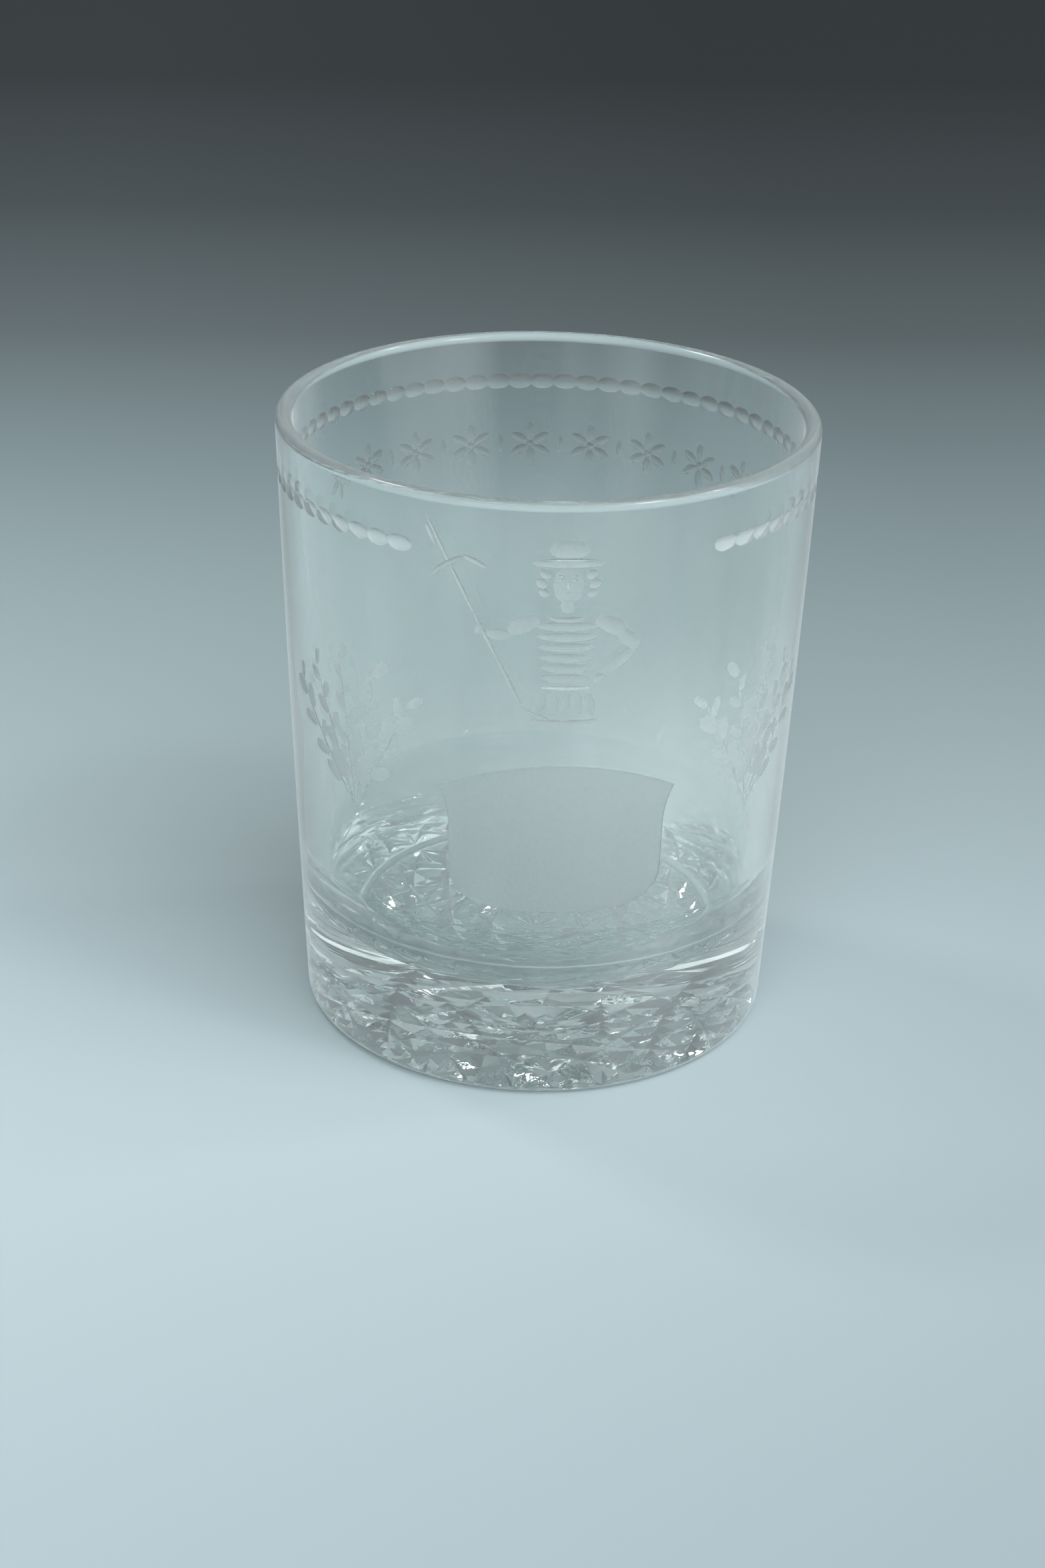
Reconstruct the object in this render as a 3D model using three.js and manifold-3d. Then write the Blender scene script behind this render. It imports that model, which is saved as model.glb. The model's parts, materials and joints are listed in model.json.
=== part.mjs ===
// Crystal water glass: a tapered tumbler blown in one piece, with a heavy base.
// Crossing mitre cuts make a star of many facets under the base. A band of small ovals runs below the
// rim, and stops short of the engraved front.
// Millimetres, +Z up. The origin is the centre of the flat that the glass stands on.

import * as THREE from 'three';
import { mergeVertices } from 'three/addons/utils/BufferGeometryUtils.js';
import Module from 'manifold-3d';

const wasm = await Module();
wasm.setup();

// Outside of the body
const HEIGHT = 97.5;
const FOOT_RADIUS = 36.8; // the outer wall carried straight down to the table
const RIM_RADIUS = 41; // the outer wall carried straight up to the top
const WALL_BULGE = 0.25; // how far the wall swells past a straight line at mid height
const HEEL_RADIUS = 1.8; // rounding between the wall and the underside

// Inside of the body
const RIM_THICKNESS = 2.5; // wall at the rim, which is melted to a full round
const LOWER_THICKNESS = 4; // wall where the bowl begins
const BASE_THICKNESS = 15; // solid glass under the middle of the floor
const BOWL_RADIUS = 13; // sweep from the wall into the floor

// Star under the base. Every cut is made by a wheel with a mitred edge.
const STAR_POINTS = 16;
const STAR_MARGIN = 1.8; // from the circle through the points to the outer wall
const STAR_TURN = THREE.MathUtils.degToRad(2.3); // of the first point, from +X
const MITRE_ANGLE = THREE.MathUtils.degToRad(126); // between the two sides of a cut

// Long cuts join each point to the points 7, 6 and 5 places on. Each is deepest at its middle.
const SPAN_OF_WIDE_CUT = 7;
const DEPTH_OF_WIDE_CUT = 1.7;
const SPAN_OF_MIDDLE_CUT = 6;
const DEPTH_OF_MIDDLE_CUT = 2.1;
const SPAN_OF_NARROW_CUT = 5;
const DEPTH_OF_NARROW_CUT = 1.5;

// Short rays round the centre
const RAY_START_RADIUS = 0.5;
const RAY_END_RADIUS = 13;
const RAY_DEPTH = 1;

// Band of ovals below the rim, cut by a small wheel with a rounded edge
const BAND_DROP = 8.4; // from the top of the rim to the middle of the band
const BAND_PLACES = 68; // places for ovals all round, some of which are in the gap
const BAND_GAP = THREE.MathUtils.degToRad(68); // left bare at the front
const OVAL_LENGTH = 4; // round the glass
const OVAL_WIDTH = 2.6; // up and down
const OVAL_DEPTH = 0.3;

// Facets of the turned and cut surfaces
const TURN_STEPS = 80;
const WALL_STEPS = 4;
const RIM_STEPS = 6;
const HEEL_STEPS = 3;
const BOWL_STEPS = 7;
const CUT_STEPS = 4; // along one mitre cut
const OVAL_STEPS = 8;

const OVERRUN = 1; // how far a cutting tool stands clear of the glass behind its cut

function outerRadius(z) {
  const share = z / HEIGHT;
  return THREE.MathUtils.lerp(FOOT_RADIUS, RIM_RADIUS, share) + WALL_BULGE * 4 * share * (1 - share);
}

const rimCentreHeight = HEIGHT - RIM_THICKNESS / 2;
const bowlTop = BASE_THICKNESS + BOWL_RADIUS;
const starRadius = FOOT_RADIUS - STAR_MARGIN;

function innerRadius(z) {
  const share = (z - bowlTop) / (rimCentreHeight - bowlTop);
  return outerRadius(z) - THREE.MathUtils.lerp(LOWER_THICKNESS, RIM_THICKNESS, share);
}

// Points of a round corner in a profile, from one angle to another
function arc(centreRadius, centreHeight, radius, from, to, steps) {
  return Array.from({ length: steps + 1 }, (_, i) => {
    const angle = THREE.MathUtils.lerp(from, to, i / steps);
    return new THREE.Vector2(
      centreRadius + radius * Math.cos(angle),
      centreHeight + radius * Math.sin(angle),
    );
  });
}

// Points between two heights on the outer or the inner wall, without its ends
function wall(radiusAt, from, to, steps) {
  return Array.from({ length: steps - 1 }, (_, i) => {
    const z = THREE.MathUtils.lerp(from, to, (i + 1) / steps);
    return new THREE.Vector2(radiusAt(z), z);
  });
}

// Half section of the uncut glass, from the middle of the underside round to the middle of the floor
function sectionOfBody() {
  const quarter = Math.PI / 2;
  const heelCentre = outerRadius(HEEL_RADIUS) - HEEL_RADIUS;
  const rimCentre = outerRadius(rimCentreHeight) - RIM_THICKNESS / 2;
  const bowlCentre = innerRadius(bowlTop) - BOWL_RADIUS;
  return [
    new THREE.Vector2(0, 0),
    ...arc(heelCentre, HEEL_RADIUS, HEEL_RADIUS, -quarter, 0, HEEL_STEPS),
    ...wall(outerRadius, HEEL_RADIUS, rimCentreHeight, WALL_STEPS),
    ...arc(rimCentre, rimCentreHeight, RIM_THICKNESS / 2, 0, Math.PI, RIM_STEPS),
    ...wall(innerRadius, rimCentreHeight, bowlTop, WALL_STEPS),
    ...arc(bowlCentre, bowlTop, BOWL_RADIUS, 0, -quarter, BOWL_STEPS),
    new THREE.Vector2(0, BASE_THICKNESS),
  ];
}

// A lathe turns about Y, so the finished body is tipped up to stand along Z
function turnedBody() {
  return new THREE.LatheGeometry(sectionOfBody(), TURN_STEPS).rotateX(Math.PI / 2);
}

// The wheel for one mitre cut, sunk into the underside. Its axle lies across the cut and its edge
// reaches in as an arc, so that the cut is a spear: deepest at mid length and pointed at both ends.
function mitreWheel(halfLength, depth) {
  const radius = (halfLength ** 2 + depth ** 2) / (2 * depth);
  const halfWidth = radius * Math.tan(MITRE_ANGLE / 2);
  const steps = Math.ceil((Math.PI * CUT_STEPS) / Math.asin(halfLength / radius));
  const edge = [
    new THREE.Vector2(0, -halfWidth),
    new THREE.Vector2(radius, 0),
    new THREE.Vector2(0, halfWidth),
  ];
  return new THREE.LatheGeometry(edge, steps).translate(0, 0, depth - radius);
}

// A cut along Y that joins two points of the star, a number of places apart
function longCut(span, depth) {
  const halfTurn = (Math.PI * span) / STAR_POINTS;
  const wheel = mitreWheel(starRadius * Math.sin(halfTurn), depth);
  return wheel.rotateZ(Math.PI / 2).translate(starRadius * Math.cos(halfTurn), 0, 0);
}

// A cut along X that starts beside the centre
function shortRay() {
  const halfLength = (RAY_END_RADIUS - RAY_START_RADIUS) / 2;
  return mitreWheel(halfLength, RAY_DEPTH).translate(RAY_START_RADIUS + halfLength, 0, 0);
}

// The tool that cuts one oval: a small ellipsoid that dips into the wall
function ovalWheel() {
  const z = HEIGHT - BAND_DROP;
  const reach = OVAL_DEPTH + OVERRUN;
  const bite = Math.sqrt(1 - (OVERRUN / reach) ** 2);
  return new THREE.SphereGeometry(1, OVAL_STEPS, OVAL_STEPS)
    .scale(reach, OVAL_LENGTH / 2 / bite, OVAL_WIDTH / 2 / bite)
    .translate(outerRadius(z) + OVERRUN, 0, z);
}

// A closed geometry as a solid that can be cut
function solid(geometry) {
  const bare = geometry.clone();
  bare.deleteAttribute('normal');
  bare.deleteAttribute('uv');
  const merged = mergeVertices(bare, 1e-4);
  return new wasm.Manifold(new wasm.Mesh({
    numProp: 3,
    vertProperties: Float32Array.from(merged.attributes.position.array),
    triVerts: Uint32Array.from(withoutSlivers(merged)),
  }));
}

// Triangles that merging has folded onto an edge, as at a pole of a lathe, are left out
function withoutSlivers(geometry) {
  const index = geometry.index.array;
  const kept = [];
  for (let i = 0; i < index.length; i += 3) {
    const [a, b, c] = [index[i], index[i + 1], index[i + 2]];
    if (a !== b && b !== c && c !== a) kept.push(a, b, c);
  }
  return kept;
}

// Takes a tool, turned to each of some angles about the axis, out of a solid
function cutAt(angles, body, tool) {
  return angles.reduce((rest, angle) => rest.subtract(solid(tool.clone().rotateZ(angle))), body);
}

// Angles of places that are evenly spaced all round
function allRound(count, first) {
  return Array.from({ length: count }, (_, i) => first + (2 * Math.PI * i) / count);
}

function cutStar(body) {
  const longCuts = [
    longCut(SPAN_OF_WIDE_CUT, DEPTH_OF_WIDE_CUT),
    longCut(SPAN_OF_MIDDLE_CUT, DEPTH_OF_MIDDLE_CUT),
    longCut(SPAN_OF_NARROW_CUT, DEPTH_OF_NARROW_CUT),
  ];
  for (const cut of longCuts) {
    body = cutAt(allRound(STAR_POINTS, STAR_TURN), body, cut);
  }
  return cutAt(allRound(STAR_POINTS, STAR_TURN), body, shortRay());
}

function cutBand(body) {
  const front = -Math.PI / 2;
  const halfPlace = Math.PI / BAND_PLACES;
  const outsideGap = (angle) => {
    const fromFront = angle - front;
    return fromFront > BAND_GAP / 2 && fromFront < 2 * Math.PI - BAND_GAP / 2;
  };
  return cutAt(allRound(BAND_PLACES, front + halfPlace).filter(outsideGap), body, ovalWheel());
}

function geometryOf(body) {
  const mesh = body.getMesh();
  const geometry = new THREE.BufferGeometry();
  geometry.setAttribute('position', new THREE.BufferAttribute(Float32Array.from(mesh.vertProperties), 3));
  geometry.setIndex(new THREE.BufferAttribute(Uint32Array.from(mesh.triVerts), 1));
  geometry.computeVertexNormals();
  return geometry;
}

function makeTumbler() {
  const glass = cutBand(cutStar(solid(turnedBody())));
  const crystal = new THREE.MeshStandardMaterial({
    color: new THREE.Color(0.86, 0.92, 0.93),
    roughness: 0.03,
    metalness: 0,
    transparent: true,
    opacity: 0.35,
  });
  const tumbler = new THREE.Mesh(geometryOf(glass), crystal);
  tumbler.name = 'tumbler';
  return tumbler;
}

const waterGlass = new THREE.Group();
waterGlass.add(makeTumbler());

export default waterGlass;
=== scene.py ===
"""Crystal water glass: the finished glass on its table, under soft studio light."""
import json
import math
import random

import bmesh
import bpy
from mathutils import Matrix, Vector

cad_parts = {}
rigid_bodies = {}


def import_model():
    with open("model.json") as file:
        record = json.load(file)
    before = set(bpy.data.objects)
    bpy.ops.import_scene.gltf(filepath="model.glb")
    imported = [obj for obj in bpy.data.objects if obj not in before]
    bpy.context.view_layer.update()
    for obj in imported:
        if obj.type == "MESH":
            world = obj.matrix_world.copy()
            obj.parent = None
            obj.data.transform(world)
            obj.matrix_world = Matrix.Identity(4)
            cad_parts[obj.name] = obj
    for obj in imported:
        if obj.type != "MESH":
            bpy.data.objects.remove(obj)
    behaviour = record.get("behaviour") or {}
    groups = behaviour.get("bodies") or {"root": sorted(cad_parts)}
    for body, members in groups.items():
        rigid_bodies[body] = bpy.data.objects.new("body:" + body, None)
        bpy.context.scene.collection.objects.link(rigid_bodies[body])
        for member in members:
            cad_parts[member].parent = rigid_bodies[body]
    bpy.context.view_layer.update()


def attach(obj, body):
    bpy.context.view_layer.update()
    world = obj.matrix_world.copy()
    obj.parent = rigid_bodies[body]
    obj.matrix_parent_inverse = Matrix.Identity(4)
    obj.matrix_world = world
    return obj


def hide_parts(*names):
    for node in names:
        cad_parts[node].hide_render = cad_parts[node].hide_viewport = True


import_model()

MM = 0.001

# The turned body, in millimetres
HEIGHT = 97.5
FOOT_RADIUS = 36.8
RIM_RADIUS = 41.0
WALL_BULGE = 0.25
HEEL_RADIUS = 1.8
RIM_THICKNESS = 2.5
LOWER_THICKNESS = 4.0
BASE_THICKNESS = 15.0
BOWL_RADIUS = 13.0

# The star under the base: cuts from each point to the points across, and short rays round the centre
STAR_POINTS = 16
STAR_RADIUS = 35.0
STAR_ANGLE = math.radians(126)
STAR_TURN = math.radians(2.3)
CROSSING_CUTS = ((7, 1.7), (6, 2.1), (5, 1.5))  # places on, and depth
SHORT_RAY = (0.5, 13.0, 1.0)  # from the centre to its start and to its end, and depth
OVERSWING = 1.12  # how much further a wheel reaches than its cut

# The band of polished ovals below the rim
BAND_DROP = 8.4
BAND_OVALS = 68
BAND_GAP = math.radians(68)
OVAL_LENGTH = 3.9
OVAL_WIDTH = 2.6
OVAL_DEPTH = 0.3

TURN_STEPS = 256
CRISP_ANGLE = math.radians(14)  # beyond which an edge of a cut stays sharp
CLEAR = 0.5  # how far a tool stands clear of the glass behind its cut
TABLE_GAP = 0.0002  # metres between the glass and the table
RIM_CENTRE = HEIGHT - RIM_THICKNESS / 2
BOWL_TOP = BASE_THICKNESS + BOWL_RADIUS
FRONT = -math.pi / 2
PATTERN_RADIUS = 39.0  # at which a length along the pattern is true
FIGURE_MIDDLE = 0.4
TURNED_FINISHES = 3  # slots of the body as it comes off the lathe: polished, milky wall, melted rim


def lerp(a, b, share):
    return a + (b - a) * share


def outer_radius(z):
    share = z / HEIGHT
    return lerp(FOOT_RADIUS, RIM_RADIUS, share) + WALL_BULGE * 4 * share * (1 - share)


def inner_radius(z):
    share = (z - BOWL_TOP) / (RIM_CENTRE - BOWL_TOP)
    return outer_radius(z) - lerp(LOWER_THICKNESS, RIM_THICKNESS, share)


HEEL_CENTRE = outer_radius(HEEL_RADIUS) - HEEL_RADIUS
BEAD_CENTRE = outer_radius(RIM_CENTRE) - RIM_THICKNESS / 2
BOWL_CENTRE = inner_radius(BOWL_TOP) - BOWL_RADIUS


def arc(centre, height, radius, start, end, steps):
    """Points of a round corner in the section, from one angle to another."""
    angles = [lerp(start, end, i / steps) for i in range(steps + 1)]
    return [(centre + radius * math.cos(a), height + radius * math.sin(a)) for a in angles]


def wall(radius_at, start, end, steps):
    """Points between two heights on the outer or the inner wall, without its ends."""
    heights = [lerp(start, end, i / steps) for i in range(1, steps)]
    return [(radius_at(z), z) for z in heights]


def body_section():
    """Half section of the uncut glass, from the middle of the underside round to the middle of the floor."""
    quarter = math.pi / 2
    return [
        (0.0, 0.0),
        *arc(HEEL_CENTRE, HEEL_RADIUS, HEEL_RADIUS, -quarter, 0, 8),
        *wall(outer_radius, HEEL_RADIUS, RIM_CENTRE, 30),
        *arc(BEAD_CENTRE, RIM_CENTRE, RIM_THICKNESS / 2, 0, math.pi, 16),
        *wall(inner_radius, RIM_CENTRE, BOWL_TOP, 24),
        *arc(BOWL_CENTRE, BOWL_TOP, BOWL_RADIUS, 0, -quarter, 32),
        (0.0, BASE_THICKNESS),
    ]


def new_object(name, bm, collection=None):
    """Puts a finished bmesh into the scene, or into a collection of its own."""
    mesh = bpy.data.meshes.new(name)
    bm.to_mesh(mesh)
    bm.free()
    piece = bpy.data.objects.new(name, mesh)
    (collection or bpy.context.scene.collection).objects.link(piece)
    return piece


def turned(name, section, steps):
    """A closed body of revolution about Z from a half section in millimetres."""
    bm = bmesh.new()
    verts = [bm.verts.new((r, 0, z)) for r, z in section]
    edges = [bm.edges.new(pair) for pair in zip(verts, verts[1:])]
    bmesh.ops.spin(bm, geom=verts + edges, cent=(0, 0, 0), axis=(0, 0, 1), angle=2 * math.pi,
                   steps=steps, use_merge=True)
    bmesh.ops.remove_doubles(bm, verts=bm.verts, dist=1e-3)
    bmesh.ops.recalc_face_normals(bm, faces=bm.faces)
    return new_object(name, bm)


def cutter(bm):
    """One tool, its faces turned outwards, that waits on the bench for the next cut."""
    bmesh.ops.recalc_face_normals(bm, faces=bm.faces)
    if bm.calc_volume(signed=True) < 0:
        bmesh.ops.reverse_faces(bm, faces=bm.faces)
    return new_object("tool", bm, bench)


def mitre_cut(angle, inner, outer, depth, offset=0.0):
    """The part of a mitred wheel that makes one spear-shaped cut, deepest at its middle."""
    half = (outer - inner) / 2
    wheel = (half ** 2 + depth ** 2) / (2 * depth)
    swing = math.asin(half / wheel) * OVERSWING
    inset = depth + CLEAR
    spread = inset * math.tan(STAR_ANGLE / 2)
    bm = bmesh.new()
    edge = ((0, wheel), (-spread, wheel - inset), (spread, wheel - inset))
    section = [bm.verts.new((0, y, r)) for y, r in edge]
    bmesh.ops.rotate(bm, verts=section, cent=(0, 0, 0), matrix=Matrix.Rotation(-swing, 3, "Y"))
    face = bm.faces.new(section)
    bmesh.ops.spin(bm, geom=[face], cent=(0, 0, 0), axis=(0, 1, 0), angle=2 * swing, steps=28)
    place = Matrix.Rotation(angle + STAR_TURN, 4, "Z")
    place @= Matrix.Translation(((inner + outer) / 2, offset, depth - wheel))
    bmesh.ops.transform(bm, matrix=place, verts=bm.verts)
    cutter(bm)


def star():
    """Every cut under the base."""
    for i in range(STAR_POINTS):
        turn = 2 * math.pi * i / STAR_POINTS
        for span, depth in CROSSING_CUTS:
            half = math.pi * span / STAR_POINTS
            reach = STAR_RADIUS * math.sin(half)
            mitre_cut(turn, -reach, reach, depth, STAR_RADIUS * math.cos(half))
        mitre_cut(turn, *SHORT_RAY)


def wrap(bm):
    """Bends a flat pattern, with its depth along Z, round the outside of the glass."""
    for vert in bm.verts:
        along, up, out = vert.co
        radius, angle = outer_radius(up) + out, FRONT + along / PATTERN_RADIUS
        vert.co = (radius * math.cos(angle), radius * math.sin(angle), up)


def olive(along, up, lean, length, width, depth, bend=0.0, steps=(14, 8)):
    """One touch of a small wheel: an oval dip, long in the direction of its lean in degrees."""
    reach = depth + CLEAR
    bite = math.sqrt(1 - (CLEAR / reach) ** 2)
    turn = Matrix.Rotation(math.radians(lean), 2)
    bm = bmesh.new()
    bmesh.ops.create_uvsphere(bm, u_segments=steps[0], v_segments=steps[1], radius=1)
    for vert in bm.verts:
        across, out, run = vert.co
        flat = turn @ Vector((run * length / 2 / bite, across * width / 2 / bite + bend * (1 - run ** 2)))
        vert.co = (along + flat.x, up + flat.y, CLEAR + out * reach)
    wrap(bm)
    cutter(bm)


def line(start, end, width, depth, bend=0.0):
    """A straight or bowed cut between two points."""
    run = Vector(end) - Vector(start)
    middle = (Vector(start) + Vector(end)) / 2
    olive(*middle, math.degrees(math.atan2(run.y, run.x)), run.length, width, depth, bend)


def band():
    """Ovals all round below the rim, with a gap at the front."""
    pitch = 2 * math.pi / BAND_OVALS
    for i in range(BAND_OVALS):
        angle = pitch * (i + 0.5)
        if BAND_GAP / 2 < angle < 2 * math.pi - BAND_GAP / 2:
            along, up = angle * PATTERN_RADIUS, HEIGHT - BAND_DROP
            olive(along, up, 0, OVAL_LENGTH, OVAL_WIDTH, OVAL_DEPTH, steps=(24, 16))


def shield():
    """A matte cartouche with an arched top, drawn-in sides and rounded lower corners."""
    depth, bottom, top, half_width = 0.14, 32.6, 57.0, 16.2
    bm = bmesh.new()
    bmesh.ops.create_grid(bm, x_segments=32, y_segments=24, size=1)
    raised = bmesh.ops.extrude_face_region(bm, geom=bm.faces[:])["geom"]
    for vert in raised:
        if isinstance(vert, bmesh.types.BMVert):
            vert.co.z = 1
    for vert in bm.verts:
        side, level, open_side = vert.co
        flare = 1.5 * max(0, (level - 0.35) / 0.65) ** 2
        tuck = 2.6 * max(0, (-level - 0.55) / 0.45) ** 2
        low, high = bottom + 1.6 * side ** 4, top - 4.9 * side ** 2
        along, up = side * (half_width + flare - tuck), lerp(low, high, (level + 1) / 2)
        vert.co = (along, up, CLEAR if open_side else -depth)
    wrap(bm)
    cutter(bm)


def details():
    """Clear cuts in the matte figure: band of the hat, brows, eyes, nose, mouth and belt."""
    middle = FIGURE_MIDDLE
    olive(middle, 89.1, 0, 6.2, 0.6, 0.3)
    for side in (-1, 1):
        olive(middle + side * 1.0, 86.75, 8 * side, 1.2, 0.32, 0.3)
        olive(middle + side * 1.0, 86.1, 0, 0.85, 0.42, 0.32)
    olive(middle, 85.3, 90, 1.5, 0.4, 0.32)
    olive(middle, 84.1, 0, 1.4, 0.34, 0.3)
    olive(middle, 69.7, 0, 7.0, 0.7, 0.3, -0.2)


def figure():
    """Half-length figure of a field worker in a brimmed hat, one hand on the hip, holding a long hook."""
    middle = FIGURE_MIDDLE
    # Hat: crown and brim
    olive(middle, 90.4, 0, 5.6, 3.0, 0.18, 0.4)
    olive(middle, 88.3, 0, 10.2, 1.5, 0.18, 0.5)
    # Curls
    for side in (-1, 1):
        for out, up, size in ((3.1, 87.0, 1.7), (3.6, 85.6, 1.8), (3.3, 84.2, 1.6)):
            olive(middle + side * out, up, 40 * side, size, size * 0.8, 0.17)
    # Face
    olive(middle, 85.4, 90, 6.0, 4.5, 0.16)
    # Neck and collar
    olive(middle, 82.3, 90, 2.6, 2.2, 0.13)
    line((middle - 2.6, 80.9), (middle + 2.6, 80.9), 1.0, 0.2, -0.9)
    # Jerkin, banded from chest to waist
    for i in range(6):
        olive(middle, 79.3 - 1.62 * i, 0, lerp(9.0, 6.8, i / 5), 1.45, 0.17, -0.25)
    # Skirt
    for i in range(5):
        olive(middle + (i - 2) * 1.75, 67.4 - 0.25 * abs(i - 2), 90 + (i - 2) * 7, 4.0, 1.7, 0.16)
    line((middle - 4.9, 65.0), (middle + 4.9, 65.0), 0.8, 0.17, -1.0)
    # Arm on the hip: sleeve in puffs, forearm, cuff and hand
    line((middle + 3.6, 80.0), (middle + 8.2, 77.4), 2.6, 0.2, 0.5)
    line((middle + 7.0, 78.0), (middle + 9.9, 75.0), 2.3, 0.19, 0.4)
    line((middle + 9.8, 75.2), (middle + 5.6, 71.6), 1.9, 0.18, -0.4)
    olive(middle + 4.6, 71.0, 35, 1.9, 1.3, 0.2)
    # Arm that holds the hook
    line((middle - 3.6, 80.0), (middle - 8.0, 77.6), 2.6, 0.2, -0.5)
    line((middle - 7.4, 77.8), (middle - 11.4, 77.9), 1.8, 0.18, 0.4)
    olive(middle - 11.9, 78.1, 60, 2.0, 1.5, 0.22)


def hook():
    """Long shaft with a curved blade across its head, and a strap at its foot."""
    foot, head = Vector((-5.6, 66.6)), Vector((-18.9, 93.6))
    for i in range(4):
        line(foot.lerp(head, i / 4), foot.lerp(head, (i + 1.12) / 4), 0.62, 0.17)
    line((-18.6, 85.0), (-13.2, 88.8), 0.95, 0.2, 0.5)
    line((-14.4, 88.8), (-10.6, 87.2), 0.85, 0.18, 0.35)
    line((-19.4, 93.0), (-18.0, 89.8), 0.9, 0.2, 0.2)
    line((-5.8, 66.6), (-1.2, 64.6), 0.6, 0.16, -0.4)


def spray(side):
    """A broad leafy bush beside the shield, with leaves of several sizes that turn every way."""
    shake = random.Random(11)
    foot = Vector((33.0, 44.0))
    for i in range(5):
        lean = math.radians(118 - 17 * i)
        tip = foot + Vector((math.cos(lean), math.sin(lean))) * (24.5 - 1.2 * abs(i - 1.5))
        line((side * foot.x, foot.y), (side * tip.x, tip.y), 0.5, 0.1)
        for j in range(8):
            share = 0.2 + 0.11 * j
            turn = (1 if j % 2 else -1) * shake.uniform(22, 48)
            leaf = math.degrees(lean) + turn
            size = shake.uniform(3.2, 5.2) * (1.15 - 0.35 * share)
            reach = Vector((math.cos(math.radians(leaf)), math.sin(math.radians(leaf)))) * size * 0.5
            middle = foot.lerp(tip, share) + reach
            lie = leaf if side > 0 else 180 - leaf
            olive(side * middle.x, middle.y, lie, size, size * shake.uniform(0.42, 0.6), 0.1)


def blossoms():
    """A row of six-petalled blossoms with a small leaf between each two, round the back."""
    count, height, reach = 9, 78.5, 2.1
    pitch = math.radians(14.5) * PATTERN_RADIUS
    for i in range(count):
        along = math.pi * PATTERN_RADIUS + (i - (count - 1) / 2) * pitch
        for petal in range(6):
            lean = 60 * petal + 30
            angle = math.radians(lean)
            olive(along + reach * math.cos(angle), height + reach * math.sin(angle), lean, 3.1, 1.5, 0.2)
        olive(along, height, 0, 1.3, 1.3, 0.26)
        if i < count - 1:
            olive(along + pitch / 2, height, 90, 3.0, 1.0, 0.18)


def engraving():
    """Everything that is left matte."""
    shield()
    figure()
    hook()
    blossoms()


def cut(body, finish):
    """Takes every tool on the bench out of the body at once. The cut faces get the finish."""
    for tool in bench.objects:
        tool.data.materials.append(finish)
    step = body.modifiers.new("cut", "BOOLEAN")
    step.operation = "DIFFERENCE"
    step.solver = "MANIFOLD"
    step.material_mode = "TRANSFER"
    step.operand_type = "COLLECTION"
    step.collection = bench
    graph = bpy.context.evaluated_depsgraph_get()
    mesh = bpy.data.meshes.new_from_object(body.evaluated_get(graph), depsgraph=graph)
    body.modifiers.clear()
    body.data = mesh
    for tool in list(bench.objects):
        bpy.data.objects.remove(tool)


def turned_normal(point, middle):
    """Normal of the turned glass at a point of a face, which its middle places on one of the surfaces."""
    r, z = math.hypot(point.x, point.y), point.z
    face_r, face_z = math.hypot(middle.x, middle.y), middle.z
    lean = (RIM_RADIUS - FOOT_RADIUS) / HEIGHT + WALL_BULGE * 4 * (1 - 2 * z / HEIGHT) / HEIGHT
    if face_z > RIM_CENTRE:
        out, up = r - BEAD_CENTRE, z - RIM_CENTRE
    elif face_z < HEEL_RADIUS and face_r > HEEL_CENTRE:
        out, up = r - HEEL_CENTRE, z - HEEL_RADIUS
    elif face_z < HEEL_RADIUS:
        out, up = 0, -1
    elif face_r > outer_radius(face_z) - 1:
        out, up = 1, -lean
    elif face_z > BOWL_TOP:
        out, up = -1, lean + (LOWER_THICKNESS - RIM_THICKNESS) / (RIM_CENTRE - BOWL_TOP)
    elif face_r > BOWL_CENTRE:
        out, up = BOWL_CENTRE - r, BOWL_TOP - z
    else:
        out, up = 0, 1
    if r < 0.01:
        return Vector((0, 0, up))
    return Vector((out * point.x / r, out * point.y / r, up)).normalized()


def smooth(mesh):
    """Gives the turned faces the exact normals of their surface, and keeps the edges of the cuts crisp."""
    for face in mesh.polygons:
        face.use_smooth = True
    mesh.set_sharp_from_angle(angle=CRISP_ANGLE)
    normals = [corner.vector.copy() for corner in mesh.corner_normals]
    for face in mesh.polygons:
        if face.material_index < TURNED_FINISHES:
            for corner in face.loop_indices:
                point = mesh.vertices[mesh.loops[corner].vertex_index].co
                normals[corner] = turned_normal(point, face.center)
    mesh.normals_split_custom_set(normals)


def fill_ramp(ramp, stops):
    """Sets the places and the colours of a ramp's stops."""
    elements = ramp.color_ramp.elements
    while len(elements) < len(stops):
        elements.new(0.5)
    for element, (place, colour) in zip(elements, stops):
        element.position = place
        element.color = (*colour, 1)


def map_range(tree, value, source, target=(0.0, 1.0)):
    """A value moved from one range to another, and held inside it."""
    node = tree.nodes.new("ShaderNodeMapRange")
    node.inputs["From Min"].default_value, node.inputs["From Max"].default_value = source
    node.inputs["To Min"].default_value, node.inputs["To Max"].default_value = target
    tree.links.new(value, node.inputs["Value"])
    return node


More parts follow.
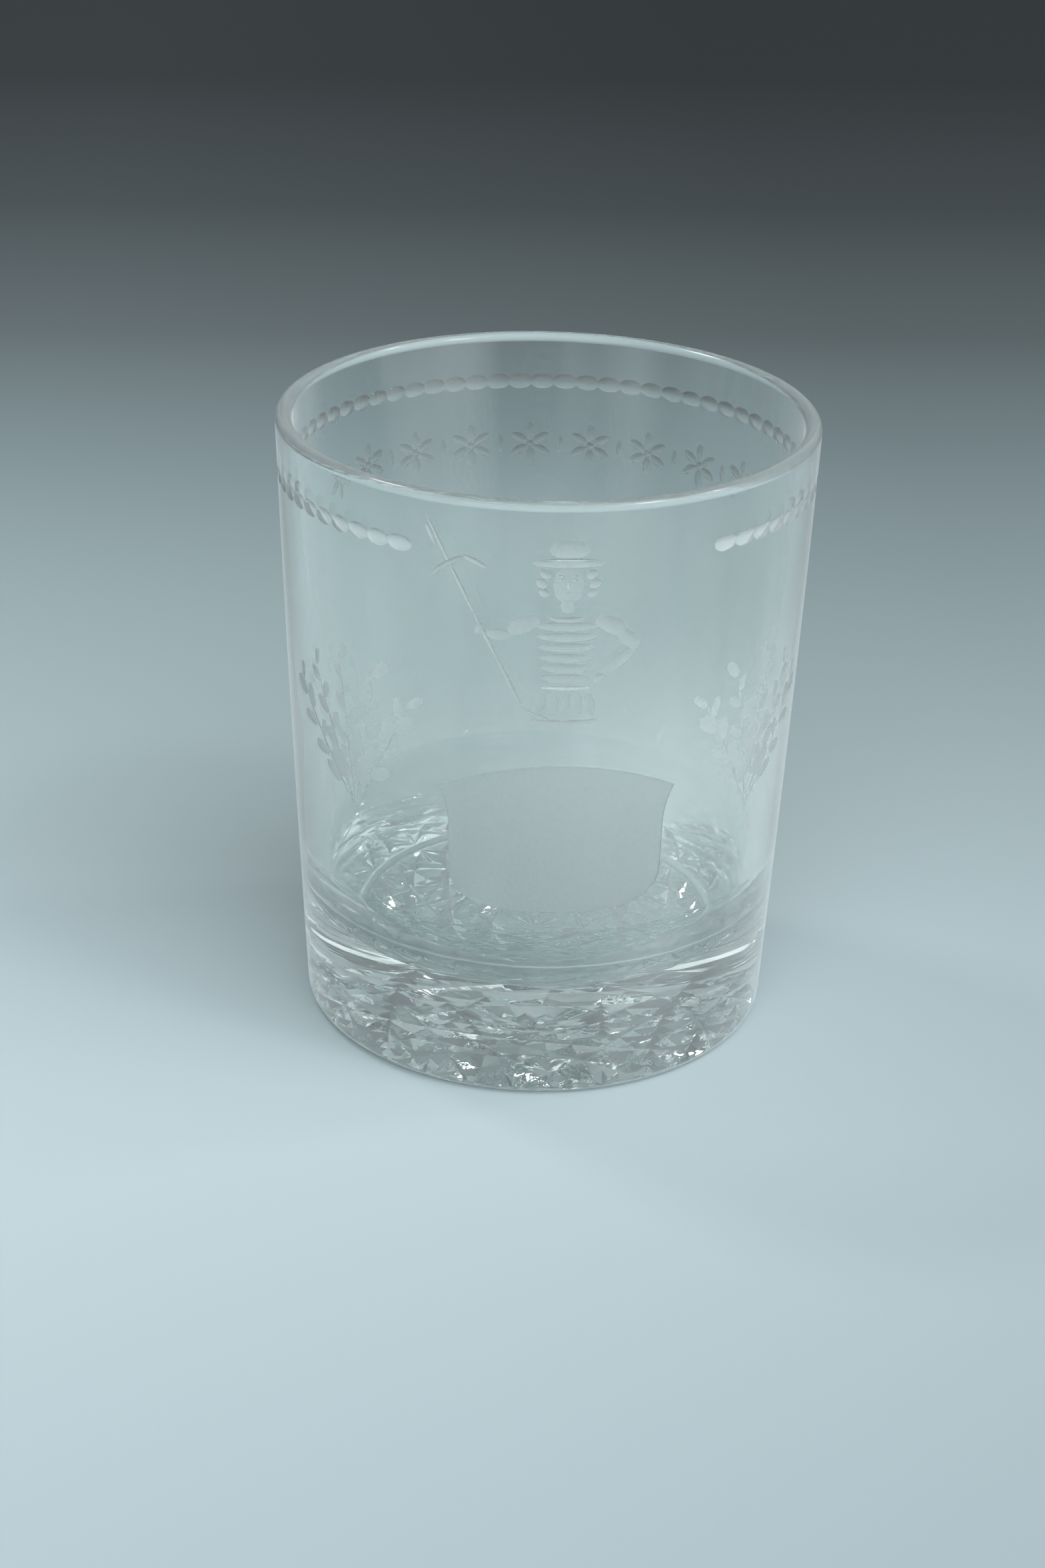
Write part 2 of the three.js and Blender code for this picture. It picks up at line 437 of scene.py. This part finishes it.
def glass_material(name, roughness, clearness, sheen, light, dark, scale, bump):
    """Glass with a faint unevenness in its colour and its surface. What isn't clear of it is a milky haze."""
    material = bpy.data.materials.new(name)
    material.use_nodes = True
    tree = material.node_tree
    shader = tree.nodes["Principled BSDF"]
    shader.inputs["Roughness"].default_value = roughness
    shader.inputs["IOR"].default_value = 1.54
    shader.inputs["Transmission Weight"].default_value = clearness
    shader.inputs["Sheen Weight"].default_value = sheen
    shader.inputs["Sheen Roughness"].default_value = 0.4
    coords = tree.nodes.new("ShaderNodeTexCoord")
    noise = tree.nodes.new("ShaderNodeTexNoise")
    noise.inputs["Scale"].default_value = scale
    noise.inputs["Detail"].default_value = 3.0
    tree.links.new(coords.outputs["Object"], noise.inputs["Vector"])
    ramp = tree.nodes.new("ShaderNodeValToRGB")
    fill_ramp(ramp, ((0.3, dark), (0.7, light)))
    tree.links.new(noise.outputs["Fac"], ramp.inputs["Fac"])
    tree.links.new(ramp.outputs["Color"], shader.inputs["Base Color"])
    uneven = tree.nodes.new("ShaderNodeBump")
    uneven.inputs["Strength"].default_value = bump
    uneven.inputs["Distance"].default_value = 0.0002
    tree.links.new(noise.outputs["Fac"], uneven.inputs["Height"])
    tree.links.new(uneven.outputs["Normal"], shader.inputs["Normal"])
    return material


def milky(material):
    """Haze, faint at the foot, thickest half way up and gone below the rim, with faint streaks up it."""
    tree = material.node_tree
    coords = tree.nodes.new("ShaderNodeTexCoord")
    parts = tree.nodes.new("ShaderNodeSeparateXYZ")
    tree.links.new(coords.outputs["Object"], parts.inputs["Vector"])
    height = map_range(tree, parts.outputs["Z"], (0.0, HEIGHT * MM))
    ramp = tree.nodes.new("ShaderNodeValToRGB")
    ramp.color_ramp.interpolation = "EASE"
    clearness_up_wall = ((0.08, 0.97), (0.34, 0.885), (0.52, 0.835), (0.84, 1.0))
    fill_ramp(ramp, [(place, (clearness,) * 3) for place, clearness in clearness_up_wall])
    tree.links.new(height.outputs["Result"], ramp.inputs["Fac"])
    stretch = tree.nodes.new("ShaderNodeVectorMath")
    stretch.operation = "MULTIPLY"
    stretch.inputs[1].default_value = (1, 1, 0.1)
    tree.links.new(coords.outputs["Object"], stretch.inputs[0])
    streaks = tree.nodes.new("ShaderNodeTexNoise")
    streaks.inputs["Scale"].default_value = 70.0
    tree.links.new(stretch.outputs["Vector"], streaks.inputs["Vector"])
    faint = map_range(tree, streaks.outputs["Fac"], (0.4, 0.65), (0.0, 0.07))
    clear = tree.nodes.new("ShaderNodeMath")
    clear.operation = "SUBTRACT"
    tree.links.new(ramp.outputs["Color"], clear.inputs[0])
    tree.links.new(faint.outputs["Result"], clear.inputs[1])
    tree.links.new(clear.outputs["Value"], tree.nodes["Principled BSDF"].inputs["Transmission Weight"])
    return material


# Roughness, clearness, sheen, light and dark colour, scale of the unevenness and height of its bumps
FINISHES = {
    "polished_crystal": (0.0, 1.0, 0.0, (0.88, 0.965, 0.945), (0.8, 0.91, 0.885), 130, 0.5),
    "milky_wall": (0.0, 0.88, 0.5, (0.965, 1.0, 0.992), (0.93, 0.98, 0.97), 45, 0.06),
    "melted_rim": (0.15, 0.84, 0.2, (0.93, 1.0, 1.0), (0.88, 0.96, 0.955), 200, 0.1),
    "polished_cuts": (0.0, 1.0, 0.0, (0.95, 1.0, 0.985), (0.58, 0.72, 0.69), 260, 0.6),
    "polished_ovals": (0.08, 0.74, 0.0, (0.98, 1.0, 1.0), (0.95, 0.98, 0.98), 120, 0.1),
    "matte_engraving": (0.5, 0.85, 0.0, (0.96, 0.99, 0.99), (0.90, 0.94, 0.94), 1500, 0.3),
    "frosted_leaves": (0.45, 0.75, 0.0, (0.97, 1.0, 1.0), (0.92, 0.96, 0.96), 1500, 0.3),
}


def tumbler():
    """The glass as it comes off the lathe, and then every cut in the order in which the finishes are made."""
    finish = {name: glass_material(name, *values) for name, values in FINISHES.items()}
    body = turned("glass", body_section(), TURN_STEPS)
    body.data.materials.append(finish["polished_crystal"])
    body.data.materials.append(milky(finish["milky_wall"]))
    body.data.materials.append(finish["melted_rim"])
    for face in body.data.polygons:
        z, r = face.center.z, math.hypot(face.center.x, face.center.y)
        upright = z > BOWL_TOP or r > outer_radius(z) - HEEL_RADIUS / 2
        face.material_index = 2 if z > RIM_CENTRE else 1 if upright else 0
    star()
    cut(body, finish["polished_cuts"])
    band()
    cut(body, finish["polished_ovals"])
    engraving()
    cut(body, finish["matte_engraving"])
    details()
    cut(body, finish["polished_ovals"])
    spray(-1)
    spray(1)
    cut(body, finish["frosted_leaves"])
    smooth(body.data)
    body.data.transform(Matrix.Scale(MM, 4))
    return body


bench = bpy.data.collections.new("bench")
bpy.context.scene.collection.children.link(bench)
glass = tumbler()
bpy.data.collections.remove(bench)
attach(glass, "root")
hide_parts("tumbler")


def plain(red, green, blue):
    """A colour that is written as it should look, from 0 to 255."""
    shares = [part / 255 for part in (red, green, blue)]
    return tuple(share / 12.92 if share <= 0.04045 else ((share + 0.055) / 1.055) ** 2.4 for share in shares)


# Tones of the table from its near edge to far behind the glass, by the share of NEAR_TO_FAR: a painted
# falloff of light, pale near and dark far
PAINTED_FALLOFF_TONES = (
    (0.05, plain(172, 184, 189)),
    (0.15, plain(182, 194, 197)),
    (0.21, plain(177, 189, 192)),
    (0.34, plain(149, 162, 164)),
    (0.47, plain(116, 127, 130)),
    (0.56, plain(91, 98, 100)),
    (0.7, plain(66, 71, 73)),
    (0.9, plain(49, 52, 54)),
)
NEAR_TO_FAR = (-0.2, 0.8)
LEFT_TO_RIGHT = (-0.11, 0.11)
# Painted side light: the table's colour is scaled up on the left and down on the right
PAINTED_LIGHT_LEFT_TO_RIGHT = (1.22, 0.94)
# Painted pool of light under the glass
PAINTED_POOL_OF_LIGHT = (0.036, 0.028)  # metres from the middle to where it ends, and to where it is full


def painted_light_under_glass(tree, coords):
    """How far the table's colour is lightened by a painted pool of mottled light, which stands in for the
    light that the base of the glass gathers below it.
    """
    reach = tree.nodes.new("ShaderNodeVectorMath")
    reach.operation = "LENGTH"
    tree.links.new(coords.outputs["Object"], reach.inputs[0])
    inside = map_range(tree, reach.outputs["Value"], PAINTED_POOL_OF_LIGHT)
    inside.interpolation_type = "SMOOTHSTEP"
    mottle = tree.nodes.new("ShaderNodeTexNoise")
    mottle.inputs["Scale"].default_value = 170.0
    tree.links.new(coords.outputs["Object"], mottle.inputs["Vector"])
    spread = map_range(tree, mottle.outputs["Fac"], (0.2, 0.6))
    amount = tree.nodes.new("ShaderNodeMath")
    amount.operation = "MULTIPLY"
    tree.links.new(inside.outputs["Result"], amount.inputs[0])
    tree.links.new(spread.outputs["Result"], amount.inputs[1])
    return amount.outputs["Value"]


def table():
    """A pale table, painted a little lighter on the left, whose colour darkens into a dark background as a
    painted falloff of light, with a painted pool of light under the glass.
    """
    bm = bmesh.new()
    bmesh.ops.create_grid(bm, x_segments=1, y_segments=1, size=3.0,
                          matrix=Matrix.Translation((0, 0, -TABLE_GAP)))
    floor = new_object("table_top", bm)
    material = bpy.data.materials.new("table")
    material.use_nodes = True
    tree = material.node_tree
    shader = tree.nodes["Principled BSDF"]
    shader.inputs["Roughness"].default_value = 0.9
    shader.inputs["Specular IOR Level"].default_value = 0.2
    coords = tree.nodes.new("ShaderNodeTexCoord")
    parts = tree.nodes.new("ShaderNodeSeparateXYZ")
    tree.links.new(coords.outputs["Object"], parts.inputs["Vector"])
    # Painted falloff of light: the colour darkens from near to far
    away = map_range(tree, parts.outputs["Y"], NEAR_TO_FAR)
    # Painted side light: lighter on the left
    across = map_range(tree, parts.outputs["X"], LEFT_TO_RIGHT, PAINTED_LIGHT_LEFT_TO_RIGHT)
    ramp = tree.nodes.new("ShaderNodeValToRGB")
    fill_ramp(ramp, PAINTED_FALLOFF_TONES)
    tree.links.new(away.outputs["Result"], ramp.inputs["Fac"])
    painted_tone = tree.nodes.new("ShaderNodeVectorMath")
    painted_tone.operation = "SCALE"
    tree.links.new(ramp.outputs["Color"], painted_tone.inputs[0])
    tree.links.new(across.outputs["Result"], painted_tone.inputs["Scale"])
    # Painted pool of light: a pale, mottled colour mixed into the table under the glass
    with_painted_pool = tree.nodes.new("ShaderNodeMix")
    with_painted_pool.data_type = "RGBA"
    with_painted_pool.inputs["B"].default_value = (0.9, 1.0, 0.99, 1)
    tree.links.new(painted_light_under_glass(tree, coords), with_painted_pool.inputs["Factor"])
    tree.links.new(painted_tone.outputs["Vector"], with_painted_pool.inputs["A"])
    tree.links.new(with_painted_pool.outputs["Result"], shader.inputs["Base Color"])
    floor.data.materials.append(material)
    return floor


table()


def lamp(name, direction, distance, size, power):
    """A square lamp that faces the middle of the foot."""
    place = Vector(direction).normalized() * distance
    data = bpy.data.lights.new(name, "AREA")
    data.size = size
    data.energy = power
    light = bpy.data.objects.new(name, data)
    facing = (-place).to_track_quat("-Z", "Y").to_matrix().to_4x4()
    light.matrix_world = Matrix.Translation(place) @ facing
    bpy.context.scene.collection.objects.link(light)


lamp("key", (0.46, -0.36, 0.8), 2.2, 0.3, 4.0)
lamp("side", (0.62, 0.1, 0.78), 2.2, 0.2, 2.5)
lamp("fill", (-0.42, 0.3, 0.84), 1.2, 0.15, 1.5)

# The sky: its middle, the brightness by the cosine of the angle from there, its tint, and the most of it
# that is seen directly, in a mirror or through the glass
SKY_MIDDLE = (0.36, -0.82, 0.45)
SKY_LEVELS = ((-0.3, 0.12), (0.2, 0.2), (0.5, 0.28), (0.6, 1.2), (0.72, 2.4))
SKY_TINT = (0.93, 1.02, 1.05)
BRIGHTEST_SEEN = (0.94, 1.0, 1.0, 1.0)


def studio():
    """Plain grey surroundings with one broad soft patch of light, up to the right behind the camera."""
    world = bpy.data.worlds.new("studio")
    bpy.context.scene.world = world
    world.use_nodes = True
    tree = world.node_tree
    background = tree.nodes["Background"]
    background.inputs["Strength"].default_value = 1.0
    coords = tree.nodes.new("ShaderNodeTexCoord")
    slope = tree.nodes.new("ShaderNodeVectorMath")
    slope.operation = "DOT_PRODUCT"
    slope.inputs[1].default_value = Vector(SKY_MIDDLE).normalized()
    tree.links.new(coords.outputs["Generated"], slope.inputs[0])
    span = map_range(tree, slope.outputs["Value"], (-1.0, 1.0))
    sky = tree.nodes.new("ShaderNodeValToRGB")
    fill_ramp(sky, [((place + 1) / 2, [level * part for part in SKY_TINT]) for place, level in SKY_LEVELS])
    tree.links.new(span.outputs["Result"], sky.inputs["Fac"])
    held = tree.nodes.new("ShaderNodeMix")
    held.data_type, held.blend_type = "RGBA", "DARKEN"
    held.inputs["Factor"].default_value = 1.0
    held.inputs["B"].default_value = BRIGHTEST_SEEN
    tree.links.new(sky.outputs["Color"], held.inputs["A"])
    rays = tree.nodes.new("ShaderNodeLightPath")
    direct = rays.outputs["Is Camera Ray"]
    for kind in ("Is Glossy Ray", "Is Transmission Ray"):
        either = tree.nodes.new("ShaderNodeMath")
        either.operation = "MAXIMUM"
        tree.links.new(direct, either.inputs[0])
        tree.links.new(rays.outputs[kind], either.inputs[1])
        direct = either.outputs["Value"]
    seen = tree.nodes.new("ShaderNodeMix")
    seen.data_type = "RGBA"
    tree.links.new(direct, seen.inputs["Factor"])
    tree.links.new(sky.outputs["Color"], seen.inputs["A"])
    tree.links.new(held.outputs["Result"], seen.inputs["B"])
    tree.links.new(seen.outputs["Result"], background.inputs["Color"])


studio()

# The camera, in radians and metres
PITCH, YAW, ROLL = 0.45132, 0.06875, 0.02499
EYE = Vector((-0.03044, -0.40506, 0.23186))


def camera():
    """The eye of the photograph, which looks down, a little to the right and aslant."""
    forward = Vector((math.sin(YAW) * math.cos(PITCH), math.cos(YAW) * math.cos(PITCH), -math.sin(PITCH)))
    right = forward.cross(Vector((0, 0, 1))).normalized()
    up = right.cross(forward)
    across = math.cos(ROLL) * right + math.sin(ROLL) * up
    upright = -math.sin(ROLL) * right + math.cos(ROLL) * up
    data = bpy.data.cameras.new("camera")
    data.lens = 65
    data.sensor_width = 36
    view = bpy.data.objects.new("camera", data)
    view.matrix_world = Matrix.Translation(EYE) @ Matrix((across, upright, -forward)).transposed().to_4x4()
    bpy.context.scene.collection.objects.link(view)
    bpy.context.scene.camera = view


camera()
bpy.context.scene.view_settings.view_transform = "Standard"
bpy.context.scene.cycles.max_bounces = 24
bpy.context.scene.cycles.transmission_bounces = 24
bpy.context.scene.cycles.glossy_bounces = 12
